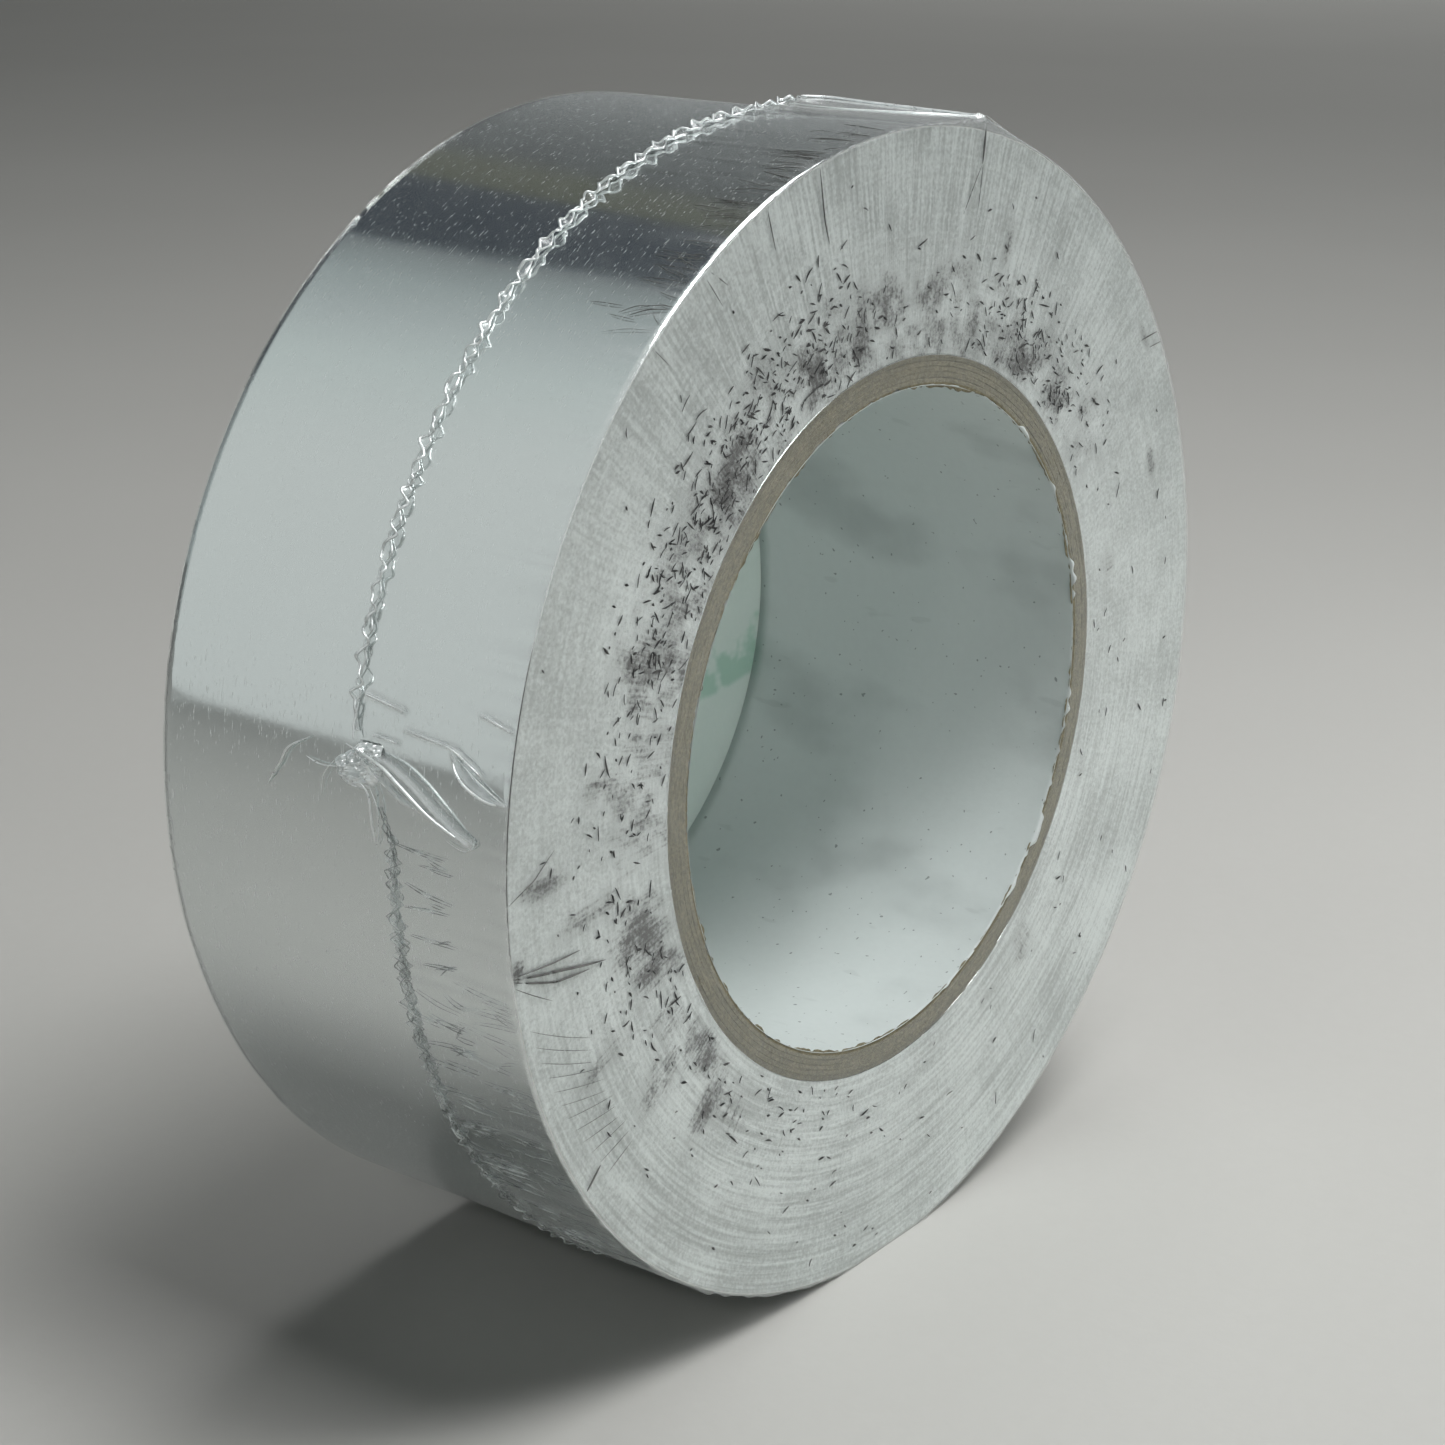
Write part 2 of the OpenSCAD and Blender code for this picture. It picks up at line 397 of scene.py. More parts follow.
def slit_edges():
    """Grey-white cut edges: rings from the laps, streaks from the knife, and soil from handling."""
    edges = Finish("slit_edges")
    ring = edges.noise(edges.ring_place(4.0, 2100.0), 1.0, 3.0)
    streak = edges.noise(edges.ring_place(130.0, 110.0), 1.0, 3.0)
    grain = edges.noise(edges.place, 2600.0, 4.0)
    cloud = edges.noise(edges.place, 90.0, 4.0)
    rise = edges.part("Z") / edges.reach()
    ring_share = 0.2 + edges.between(rise, 0.2, -0.75) * 0.55
    streak_share = 0.15 + edges.between(rise, 0.3, 0.95) * 0.6
    laps_tone = (grain - 0.5) * 0.55 + (ring - 0.5) * ring_share
    tone = laps_tone + (streak - 0.5) * streak_share + (cloud - 0.5) * 0.5
    dark = edges.kept("soil")
    clean = edges.blend(edges.between(tone, -0.26, 0.24), (0.5, 0.53, 0.52, 1), (0.88, 0.92, 0.91, 1))
    spread = (grain - 0.5) * 1.3 + (streak - 0.5) * 0.9
    dusty = edges.between(dark + spread * edges.between(dark, 0.02, 0.35), 0.1, 0.95)
    base = edges.blend(dusty, clean, (0.055, 0.055, 0.053, 1))
    normal = edges.bump(ring * ring_share + streak * streak_share + grain * 0.7, 0.00014)
    return edges.done(edges.principled({
        "Base Color": base, "Metallic": 0.5 - dusty * 0.4, "Roughness": 0.34 + grain * 0.2,
        "Normal": normal}))


def keep_on_points(piece, name, values):
    """Keeps a number on each point of a piece, for its material to read."""
    values = np.ascontiguousarray(values, dtype=np.float32).reshape(-1)
    piece.data.attributes.new(name, "FLOAT", "POINT").data.foreach_set("value", values)


angle = round_the_roll(512)
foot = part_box("tape_laps")[0].z
lap_share = np.linspace(1, 0, lap_count)[:, None]
outer_rim = wound_radius(laps_r, angle, foot)
lap_r = first_lap_r + (outer_rim - first_lap_r) * lap_share
step = np.random.default_rng(7).uniform(-1, 1, (lap_count, 1))
run_out = rough(8, 6, 30, angle, lap_share)
flutter = rough(9, 150, 5, angle, lap_share)
front_level = front_y - (0.028 * step + 0.02 * run_out + 0.02 * flutter) * MM
edge_rounding = 0.2 * MM
back_share = np.linspace(0, 1, 46)[:, None]
back_r = first_lap_r + (outer_rim - first_lap_r) * back_share
back_level = back_y + 0.03 * MM * rough(10, 24, 40, angle, back_share)
section = np.concatenate([
    polar(back_r, angle, back_level),
    polar(outer_rim, angle, down(back_y - edge_rounding, front_y + edge_rounding)),
    polar(lap_r, angle, front_level),
    polar(first_lap_r, angle, down(front_y + edge_rounding, back_y - edge_rounding)),
])
laps = skin("wound_laps", section, closed_section=True)
x, y, z = section.reshape(-1, 3).T
rear_soil = 0.1
keep_on_points(laps, "soil", np.where(y < 0, soil(np.arctan2(z, x), np.hypot(x, z)), rear_soil))
finish_piece(laps, slit_edges(), "tape_edges", "tape_laps")


# ---- Bare first lap ------------------------------------------------------------------------------
# The tape starts with its liner peeled off and is stuck straight to the kraft, so a bright line of
# bare foil shows between the brown core and the grey laps.


def rolled_foil(name, relief):
    """Bright rolled aluminium with fine scratches along the web and a few short cross dints."""
    foil = Finish(name)
    scratch = foil.between(foil.noise(foil.stretched(900, 6500, 900), 1.0, 2.0), 0.62, 0.72)
    lines = foil.noise(foil.stretched(40, 1500, 40), 1.0, 2.0)
    crossed = foil.noise(foil.stretched(900, 90, 900), 1.0, 2.0)
    broad = foil.noise(foil.place, 45.0, 2.0)
    base = foil.blend(scratch * 0.5 + broad * 0.2, (0.8, 0.82, 0.82, 1), (0.92, 0.93, 0.93, 1))
    normal = foil.bump(scratch * 0.8 + lines * 0.3 + crossed * 0.15, 0.000004 * relief)
    roughness = 0.06 + scratch * 0.24 + broad * 0.06
    return foil.done(foil.principled({
        "Base Color": base, "Metallic": 1.0, "Roughness": roughness, "Normal": normal}))


angle = round_the_roll(720)
bright = front_y - 0.05 * MM * rough(70, 60, 1, angle, 0) - 0.04 * MM
section = np.concatenate([
    polar(core_r, angle, down(front_y + 0.1 * MM, back_y)),
    polar(first_lap_r, angle, down(back_y, front_y + 0.1 * MM)),
    polar(first_lap_r - 0.01 * MM, angle, bright),
    polar(core_r + 0.01 * MM, angle, bright - 0.02 * MM),
])
first_lap = skin("bare_first_lap", section, closed_section=True)
finish_piece(first_lap, rolled_foil("first_lap_foil", 1.0), "foil", "tape_start_lap")


# ---- Slitting dust -------------------------------------------------------------------------------
# Short dark slivers of adhesive and foil that the knife dragged out of the laps. They lie flat on
# the cut edges, most of them above and to the left of the core.


def dust_density(angle, radius):
    """Share of slivers that stay at a place on the front face."""
    degrees = np.degrees(angle) % 360
    near_core = np.exp(-((radius / MM - 48) / 6) ** 2)
    upper_left = np.exp(-((degrees - 130) / 32) ** 4)
    upper_right = 0.8 * np.exp(-((degrees - 56) / 18) ** 2) * (radius < 54 * MM)
    left = 0.35 * np.exp(-((degrees - 185) / 22) ** 2)
    lower = 0.16 * np.exp(-((degrees - 235) / 30) ** 2)
    return near_core * (upper_left + upper_right + left + lower) + 0.02


def slivers(name, count, seed):
    """One mesh of bent slivers, each a thin ridged strip that is pointed at both ends."""
    dice = np.random.default_rng(seed)
    strips = 3
    base = np.array([0, front_y - 0.12 * MM, 0])
    ridge = np.array([0, -0.06 * MM, 0])
    points, faces = [], []
    while len(faces) < count * strips * 2:
        turn, out = dice.uniform(0, 2 * math.pi), dice.uniform(first_lap_r + 0.6 * MM, laps_r - 1.5 * MM)
        keep, length, breadth = dice.random(), dice.gamma(2.4, 0.27) * MM, dice.uniform(0.13, 0.32) * MM
        lean, bend = dice.normal(math.pi / 2, 0.75), dice.normal(0, 0.05)
        if keep > dust_density(np.array(turn), np.array(out)):
            continue
        length = min(length, 2.4 * MM) + 0.25 * MM
        first = len(points)
        for share in (-0.5, -0.17, 0.17, 0.5):
            swell = breadth * (1 - (2 * share) ** 2) + 0.02 * MM
            aim = turn + lean + bend * share * 4
            middle = np.array([out * math.cos(turn), 0, out * math.sin(turn)])
            middle = middle + length * share * np.array([math.cos(aim), 0, math.sin(aim)])
            side = 0.5 * swell * np.array([-math.sin(aim), 0, math.cos(aim)])
            points += [middle + base - side, middle + base + ridge, middle + base + side]
        for strip in range(strips):
            low = first + 3 * strip
            faces += [(low, low + 1, low + 4, low + 3), (low + 1, low + 2, low + 5, low + 4)]
    mesh = bpy.data.meshes.new(name)
    mesh.from_pydata([tuple(point) for point in points], [], faces)
    return placed(name, mesh)


def dust_finish():
    """Nearly black adhesive crumbs with a little foil shine."""
    dust = Finish("slitting_dust")
    shine = dust.noise(dust.place, 700.0, 2.0)
    base = dust.blend(dust.between(shine, 0.35, 0.7), (0.012, 0.012, 0.013, 1), (0.07, 0.07, 0.068, 1))
    return dust.done(dust.principled({"Base Color": base, "Roughness": 0.5 + shine * 0.3}))


slitting_dust = slivers("slitting_dust", 1050, 11)
finish_piece(slitting_dust, dust_finish(), "adhesive")


# ---- Outermost lap -------------------------------------------------------------------------------
# The last turn of tape: white liner inside, adhesive, then the bright foil that makes the rim. The
# foil was pulled tight over the laps, so it mirrors the room, and is dinted only at its edges.


def edge_paper():
    """Silicone-coated white paper, seen at its cut edge."""
    paper = Finish("release_liner")
    grain = paper.noise(paper.place, 1500.0, 3.0)
    base = paper.blend(grain, (0.6, 0.62, 0.6, 1), (0.86, 0.87, 0.85, 1))
    return paper.done(paper.principled({
        "Base Color": base, "Roughness": 0.4 + grain * 0.2, "Normal": paper.bump(grain, 0.00003)}))


def clear_adhesive():
    """Tacky acrylic adhesive, slightly milky."""
    glue = Finish("acrylic_adhesive")
    milk = glue.noise(glue.place, 500.0, 2.0)
    base = glue.blend(milk, (0.62, 0.62, 0.58, 1), (0.82, 0.82, 0.78, 1))
    return glue.done(glue.principled({
        "Base Color": base, "Roughness": 0.15 + milk * 0.2, "Normal": glue.bump(milk, 0.00002)}))


dress(frame["nodes"]["outer_liner"], edge_paper())
dress(frame["nodes"]["outer_adhesive"], clear_adhesive())

angle = round_the_roll(1440)
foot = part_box("outer_foil")[0].z
rim = wound_radius(foil_r, angle, foot)
cross = np.linspace(0, 1, 62)[:, None]
from_front = cross * width
dints = rough(31, 70, 5, angle, cross) * 0.007 + rough(32, 220, 8, angle, cross) * 0.002
edge_waves = np.exp(-from_front / (2.2 * MM)) * rough(33, 330, 1, angle, 0) * 0.012
back_waves = np.exp(-(width - from_front) / (1.6 * MM)) * rough(34, 260, 1, angle, 0) * 0.012
surface_r = rim - tape_t * 0.02 + (dints + edge_waves + back_waves) * MM
rim_y = front_y + from_front
under = rim - 0.045 * MM
section = np.concatenate([
    polar(under, angle, down(front_y, back_y)),
    polar(surface_r[::-1], angle, rim_y[::-1]),
])
rim_foil = skin("rim_foil", section, closed_section=True)
finish_piece(rim_foil, rolled_foil("rim_foil", 1.6), "foil", "outer_foil")


# ---- Label card ----------------------------------------------------------------------------------
# A round coated card lies on the rear face under the film. Its printed side looks out through the
# back, and faint green shapes show through the bore.


def printed_card():
    """Pale green coated card with plain soft-edged bands of green."""
    card = Finish("label_card")
    tint = card.noise(card.place, 120.0, 3.0)
    grain = card.noise(card.place, 1600.0, 2.0)
    wave = card.part("Z") + 0.004 * card.noise(card.stretched(1, 0, 0), 60.0, 1.0)
    band = card.between(wave, -0.0115, -0.0105) * (1 - card.between(wave, -0.0035, -0.0025))
    patch = band * card.between(card.noise(card.place, 260.0, 2.0), 0.38, 0.55)
    paper = card.blend(tint * 0.5 + grain * 0.3, (0.6, 0.72, 0.66, 1), (0.74, 0.82, 0.78, 1))
    base = card.blend(patch * 0.45, paper, (0.1, 0.42, 0.26, 1))
    return card.done(card.principled({
        "Base Color": base, "Roughness": 0.32 + grain * 0.1, "Normal": card.bump(grain + tint, 0.00003)}))


card_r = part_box("label_card")[1].x
card_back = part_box("label_card")[1].y
angle = round_the_roll(360)
share = np.linspace(0.002, 1, 40)[:, None]
bow = 0.06 * MM * rough(50, 9, 4, angle, share)
card_face = polar(card_r * share[::-1], angle, back_y + 0.02 * MM)
card_rear = polar(card_r * share, angle, card_back - 0.04 * MM + 0.3 * bow)
label = skin("label_card_print", np.concatenate([card_rear, card_face]), closed_section=True)
finish_piece(label, printed_card(), "label_card", "label_card")


# ---- Shrink film ---------------------------------------------------------------------------------
# Thin clear film in two halves. The front half wraps the face and the rim as far as the seal, and
# the rear half closes the back. It shrank tight, with fine pleats where it had too much to take in.

film_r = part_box("front_film")[1].z
film_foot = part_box("front_film")[0].z
seal_nodes = ("upper_left_seal", "lower_left_seal", "lower_right_seal")
seal_middle = {node: (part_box(node)[0].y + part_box(node)[1].y) / 2 - front_y for node in seal_nodes}
fold_depth = 20 * MM


def seam_depth(angle):
    """Distance from the front face to the meeting line of the two films, smooth past each corner."""
    degrees = np.degrees((angle - free_end) % (2 * math.pi))
    upper, lower, right = (seal_middle[node] for node in seal_nodes)
    joint = (right + fold_depth) / 2
    stops = [0, 6, 84, 96, 176, 186, 262, 280, 352, 360]
    depths = [joint, fold_depth, fold_depth, upper, upper, lower, lower, right, right, joint]
    return np.interp(degrees, stops, depths)


def crease(angle, depth, path, breadth):
    """1 along a fold that runs through (degrees, mm from the front) points, fading out across it."""
    best = np.full(np.broadcast(angle, depth).shape, 9.0)
    across = (angle % (2 * math.pi)) * film_r / MM
    down_rim = depth / MM
    for (deg_a, mm_a), (deg_b, mm_b) in zip(path, path[1:]):
        ax, bx = math.radians(deg_a) * film_r / MM, math.radians(deg_b) * film_r / MM
        dx, dy = bx - ax, mm_b - mm_a
        share = np.clip(((across - ax) * dx + (down_rim - mm_a) * dy) / (dx * dx + dy * dy), 0, 1)
        best = np.minimum(best, np.hypot(across - ax - share * dx, down_rim - mm_a - share * dy))
    return np.clip(1 - best / breadth, 0, 1) ** 1.5


# Each fold round the left corner: its path as (degrees, mm from the front), half breadth and height.
LEFT_FOLDS = [
    ([(170.1, 21), (171.0, 15.8), (172.1, 12.7), (174.1, 8.8), (175.9, 4.5)], 0.9, 0.75),
    ([(172.7, 16.5), (173.9, 13.7), (174.4, 10.1), (175.1, 7.8), (175.7, 4.6)], 0.6, 0.35),
    ([(167.8, 13.8), (168.2, 7.4), (169.2, 4.9), (169.9, 3.6)], 0.6, 0.35),
    ([(168.8, 7.3), (169.9, 6.6), (170.9, 5), (171.8, 2.4), (171.8, 0.3)], 0.8, 0.6),
    ([(164.9, 4.5), (165.2, 2.7), (165.6, 0.5)], 0.6, 0.4),
    ([(165.6, 19.5), (166.2, 14.5)], 0.7, 0.35),
    ([(168.9, 17.9), (169, 14.8)], 0.5, 0.3),
    ([(173, 19), (173.8, 17.7), (176.4, 17.4), (178, 17.2)], 0.6, 0.3),
]


def film_rise(angle, depth):
    """How far the film stands off the tape on the rim, in metres."""
    share = np.clip(depth / width, 0, 1)
    degrees = np.degrees(angle) % 360
    seam = seam_depth(angle)
    near_seam = np.exp(-np.abs(depth - seam) / (2.6 * MM))
    rise = 0.05 + 0.03 * rough(90, 60, 6, angle, share)
    rise = rise + near_seam * (0.1 + 0.12 * rough(91, 300, 6, angle, share))
    low_left = np.exp(-((degrees - 232) / 26) ** 2)
    pleats = np.abs(rough(92, 240, 2, angle, share)) * (depth < seam)
    rise = rise + low_left * 0.5 * pleats * np.clip((seam - depth) / (6 * MM) + 0.35, 0, 1)
    upper = np.exp(-((degrees - 108) / 16) ** 2) * (depth < seam)
    rise = rise + upper * 0.1 * np.abs(rough(93, 420, 2, angle, share))
    return rise * MM


tent_depth, tent_tail = seal_middle["upper_left_seal"], 9 * MM


def tent(angle, depth):
    """How far the film stands off at the top, stretched over a ridge from the seal to the front edge."""
    share = np.clip(1 - depth / tent_depth, 0, 1)
    ridge = np.radians(81 - 3.8 * share)
    tail = np.clip((depth - tent_depth) / tent_tail, 0, 1)
    height = (1.55 - 0.35 * share) * MM * (1 - tail) ** 2 + 0.00001
    spread = np.arccos(film_r / (film_r + height))
    offset = np.abs((angle - ridge + math.pi) % (2 * math.pi) - math.pi)
    return np.where(offset < spread, film_r / np.cos(spread - np.minimum(offset, spread)) - film_r, 0)


def film_surface(angle, depth):
    """Radius of the film's outside on the rim, with the tent at the top."""
    return wound_radius(film_r, angle, film_foot) + tent(angle, depth)


def sheen(film):
    """Share of light that clear film mirrors: little face on, and all of it at a glancing angle."""
    return 0.04 + film.node("ShaderNodeLayerWeight", {}, {"Blend": 0.5}, "Facing") ** 5.0


def see_through(finish, share, tint, body):
    """Clear where share is 0, with a tint, and a solid shader where it is 1."""
    clear = finish.node("ShaderNodeBsdfTransparent", {}, {"Color": tint})
    held = finish.node("ShaderNodeClamp", {}, {"Value": share})
    return finish.done(finish.node("ShaderNodeMixShader", {}, {0: held, 1: clear, 2: body}))


def shrink_film(name, haze):
    """Clear film: bright where it mirrors the lights, milky where it is folded or stretched white."""
    film = Finish(name)
    milk = film.noise(film.place, 260.0, 3.0)
    streaks = film.noise(film.stretched(420, 40, 420), 1.0, 3.0)
    normal = film.bump(milk * 0.6 + streaks * 0.3, 0.00001)
    gloss = film.principled({
        "Base Color": (0.93, 0.96, 0.96, 1), "Metallic": 0.55, "Roughness": 0.12 + milk * 0.12,
        "Normal": normal})
    share = sheen(film) * 0.9 + film.kept("folds") + haze * (0.4 + milk)
    return see_through(film, share, (0.985, 0.995, 0.992, 1), gloss)


angle = round_the_roll(1260)
seam = seam_depth(angle)
rim_share = np.linspace(1, 0, 48)[:, None]
depth = seam * rim_share
rim = wound_radius(film_r, angle, film_foot)
peaks = film_rise(angle, depth)
tented = tent(angle, depth)
folds = np.zeros_like(peaks)
for path, breadth, height in LEFT_FOLDS:
    line = crease(angle, depth, path, breadth)
    peaks = peaks + line * height * MM
    folds = np.maximum(folds, line * 0.8)
rim_run = depth / width
low_left = np.exp(-((np.degrees(angle) % 360 - 222) / 30) ** 2)
folds = np.maximum(folds, low_left * np.abs(rough(92, 240, 2, angle, rim_run)) ** 2 * 0.45)
front_streaks = np.exp(-depth / (4 * MM)) * np.abs(rough(94, 420, 2, angle, rim_run)) ** 2
folds = np.maximum(folds, front_streaks * 0.35 * np.clip(np.sin(angle) + 0.6, 0, 1))
folds = np.maximum(folds, np.clip(tented / (1.5 * MM), 0, 1) ** 2 * 0.4)
rim_film = polar(rim + peaks + tented, angle, front_y + depth)
bead = rough(95, 620, 1, angle, 0)
corner = polar(rim + 0.06 * MM + tented[-1] * 0.8 + 0.02 * MM * bead, angle, front_y - 0.07 * MM)
hole_r = bore_r + 0.4 * MM
face_share = np.linspace(1, 0, 64)[:, None]
face_r = hole_r + (rim - 0.25 * MM - hole_r) * face_share
ticks = np.exp(-(rim - face_r) / (2.4 * MM)) * np.abs(rough(96, 420, 3, angle, face_share))
face_lift = 0.1 + 0.03 * rough(97, 40, 8, angle, face_share) + 0.1 * ticks
face_film = polar(face_r, angle, front_y - face_lift * MM)
front_film = skin("front_film_skin", np.concatenate([rim_film, corner, face_film]))
# The rolled front edge of the film is whitish all round; over the upper part of the roll it is made whiter
# as a painted highlight, and below it is dimmer.
edge_white_and_highlight = (0.55 + 0.3 * bead) * np.where(np.sin(angle) > -0.2, 1.0, 0.4)
face_folds = 0.05 + 0.25 * ticks ** 2
face_folds = np.broadcast_to(face_folds, face_r.shape)
keep_on_points(front_film, "folds", np.concatenate([folds, np.clip(edge_white_and_highlight, 0, 1), face_folds]))
finish_piece(front_film, shrink_film("front_film", 0.05), "shrink_film", "front_film")

film_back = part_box("rear_film")[1].y
rear_share = np.linspace(0, 1, 60)[:, None] ** 0.8
rear_r = (rim - 0.3 * MM) * (0.002 + 0.998 * rear_share)
off_card = np.clip((rear_r - card_r) / (1.5 * MM), 0, 1)
drum = rough(98, 90, 3, angle, rear_share) * rear_share * 0.1
rear_level = film_back + (0.05 + drum - 0.18 * off_card) * MM
depth = seam + (width + 0.1 * MM - seam) * np.linspace(1, 0, 40)[:, None]
peaks = film_rise(angle, depth)
rear_rim = polar(rim + peaks + tent(angle, depth), angle, front_y + depth)
rear_corner = polar(rim + 0.05 * MM + 0.02 * MM * bead, angle, back_y + 0.08 * MM)
rear_film = skin("rear_film_skin", np.concatenate([polar(rear_r, angle, rear_level), rear_corner, rear_rim]))
rear_folds = 0.03 + 0.2 * np.clip(np.abs(rough(99, 260, 3, angle, rear_share)) - 0.5, 0, 1) * rear_share
keep_on_points(rear_film, "folds", np.concatenate([rear_folds, 0.08 + 0.06 * bead, np.zeros_like(peaks)]))
finish_piece(rear_film, shrink_film("rear_film", 0.03), "shrink_film", "rear_film")


# ---- Crimped seals -------------------------------------------------------------------------------
# Hot wire cut and joined the two films at once. As they shrank, the joined fin drew up into a
# zig-zag with a thick bright bead along its free edge, tight on top of the roll and flatter below.


def strand(points, radius, sides=6):
    """Rings of a thin round strand through points, ready to be skinned."""
    ahead = np.gradient(points, axis=0)
    ahead = ahead / np.linalg.norm(ahead, axis=1)[:, None]
    side = np.cross(ahead, np.array([0.0, 1.0, 0.0]))
    side = side / np.maximum(np.linalg.norm(side, axis=1)[:, None], 1e-6)
    over = np.cross(side, ahead)
    turn = np.linspace(0, 2 * math.pi, sides, endpoint=False)[None, :, None]
    thick = np.broadcast_to(np.asarray(radius, float).reshape(-1, 1, 1), (len(points), 1, 1))
    return points[:, None] + thick * (np.cos(turn) * side[:, None] + np.sin(turn) * over[:, None])


def sealed_film(name, whiteness, shade):
    """Crimped film, thick enough to look white along its beads."""
    seal = Finish(name)
    milk = seal.noise(seal.place, 900.0, 3.0)
    normal = seal.bump(milk, 0.00008)
    patchy = seal.between(seal.noise(seal.place, 420.0, 2.0) * 0.6 + milk * 0.4, 0.4, 0.6)
    base = seal.blend(patchy, (shade, shade * 1.03, shade * 1.03, 1), (0.93, 0.96, 0.96, 1))
    gloss = seal.principled({
        "Base Color": base, "Metallic": 0.7, "Roughness": 0.2 + milk * 0.2, "Normal": normal})
    share = whiteness + sheen(seal) + (milk - 0.5) * 0.5
    return see_through(seal, share, (0.97, 0.98, 0.98, 1), gloss)


def zigzag(along, pitch_mm, seed):
    """Uneven to-and-fro from -1 to 1 along the seal, given in metres along the rim."""
    dice = np.random.default_rng(seed)
    count = int(np.ptp(along) / (pitch_mm * MM)) * 2 + 6
    gaps = dice.uniform(0.6, 1.4, count) * pitch_mm * MM / 2
    stops = along.min() - pitch_mm * MM + np.cumsum(gaps)
    return np.interp(along, stops, np.tile([-1, 1], count)[:count] * dice.uniform(0.6, 1.1, count))


def smooth(values, passes):
    """Values with their corners rounded off."""
    for _ in range(passes):
        values = np.convolve(np.pad(values, 1, mode="edge"), [0.25, 0.5, 0.25], mode="valid")
    return values


def merged(name, grids):
    """One mesh from separate grids, each given as (points, closed round its section)."""
    bpy.ops.object.select_all(action="DESELECT")
    pieces = [skin(f"{name}.{number}", points, closed_turn=closed)
              for number, (points, closed) in enumerate(grids)]
    for piece in pieces:
        piece.select_set(True)
    bpy.context.view_layer.objects.active = pieces[0]
    bpy.ops.object.join()
    pieces[0].name = name
    return pieces[0]


fold_lift_mm = 0.12


def crimped_seal(name, from_degrees, to_degrees, pitch, swing, height, bead_r, seed, soft):
    """Fin between two beads: the lower one hugs the rim, and the upper one swings from side to side."""
    turn = np.radians(np.arange(from_degrees, to_degrees, 0.12))
    along = turn * film_r
    ends = np.clip(np.minimum(turn - turn[0], turn[-1] - turn) / math.radians(3), 0.15, 1)
    middle = front_y + seam_depth(turn)
    base_r = film_surface(turn, middle - front_y) + fold_lift_mm * MM
    sway = smooth(zigzag(along, pitch, seed), soft)
    counter = smooth(zigzag(along, pitch * 1.1, seed + 1), soft)
    lift = 0.55 + 0.45 * smooth(zigzag(along, pitch * 0.5, seed + 2), soft + 2)
    top_y = middle + sway * swing * ends * MM
    low_y = middle - (0.75 * sway - 0.25 * counter) * swing * ends * MM
    top_r = base_r + height * lift * ends * MM
    low_r = base_r + 0.25 * height * (1 - lift) * ends * MM
    top, low = polar(top_r, turn, top_y), polar(low_r, turn, low_y)
    thick = bead_r * MM * (1 + 0.35 * counter)
    beads = merged(name, [(strand(top, thick), True), (strand(low, thick * 0.8), True)])
    web = np.stack([low + (top - low) * share for share in np.linspace(0.05, 0.95, 5)], axis=1)
    return beads, merged(name + "_fin", [(web, False)])


bead_finish = sealed_film("sealed_beads", 0.75, 0.78)
fin_finish = sealed_film("sealed_fin", 0.12, 0.7)
# Darker copy of the seal film for the lower left of the roll: its dark grey is painted shade and a painted
# reflection of the dark floor.
shaded_seal_finish = sealed_film("sealed_painted_shade", 0.35, 0.26)
# Whiter copy of the seal film for the corners: bunched film is white, and it is made whiter still as painted
# light, for the light the knots catch.
bunch_lit_finish = sealed_film("bunched_film_painted_light", 0.9, 0.9)
# Each run: name, node, from and to degrees, pitch, swing, height and bead radius in mm, seed of the
# zig-zag, how often it is smoothed, and finish.
seal_runs = [
    ("upper_left_bead", "upper_left_seal", 82, 169, 3.4, 0.75, 0.95, 0.15, 101, 2, bead_finish),
    ("lower_left_bead", "lower_left_seal", 177, 258, 3.0, 0.7, 0.6, 0.08, 111, 0, shaded_seal_finish),
    ("lower_left_crinkle", None, 175, 222, 2.2, 1.0, 0.4, 0.05, 171, 0, shaded_seal_finish),
    ("lower_right_bead", "lower_right_seal", 281, 347, 3.4, 0.8, 0.8, 0.11, 121, 2, bead_finish),
]
for name, node, *sizes, material in seal_runs:
    bead_piece, fin_piece = crimped_seal(name, *sizes)
    finish_piece(bead_piece, material, "film_seal", *([node] if node else []))
    finish_piece(fin_piece, fin_finish, "film_seal")


# ---- Film corners --------------------------------------------------------------------------------
# Where two seals meet, the film had the most to take in. It bunched up into a stiff crumpled knot,
# with sharp white folds running out of it. At the top it dried as a dog-ear over the front edge, and
# under the roll it is pressed flat.


def fold_line(stops, steps=12):
    """Smooth line over the rim film through (degrees, mm from the front, mm off the film) stops."""
    stops = np.array(stops, float)
    padded = np.vstack([2 * stops[0] - stops[1], stops, 2 * stops[-1] - stops[-2]])
    share = np.linspace(0, 1, steps, endpoint=False)[:, None]
    runs = []
    for before, start, stop, after in zip(padded, padded[1:], padded[2:], padded[3:]):
        bend = (2 * before - 5 * start + 4 * stop - after) * share ** 2
        turnback = (3 * start - before - 3 * stop + after) * share ** 3
        runs.append(start + 0.5 * ((stop - before) * share + bend + turnback))
    line = np.vstack(runs + [stops[-1:]])
    turn, depth = np.radians(line[:, 0]), line[:, 1] * MM
    return polar(film_surface(turn, depth) + (fold_lift_mm + line[:, 2]) * MM, turn, front_y + depth)


def tapered(line, radius):
    """Strand that thins towards both ends of a line."""
    share = np.linspace(0, 1, len(line))
    return strand(line, radius * MM * (0.25 + 0.75 * np.sin(math.pi * share) ** 0.6))


def strands(lines):
    """Grids of tapered strands, from lines that each have a radius in mm."""
    return [(tapered(line, radius), True) for line, radius in lines]


def respaced(line, ends):
    """Points of a line at the given shares of its length in points."""
    run = np.linspace(0, 1, len(line))
    return np.stack([np.interp(ends, run, line[:, axis]) for axis in range(3)], axis=-1)


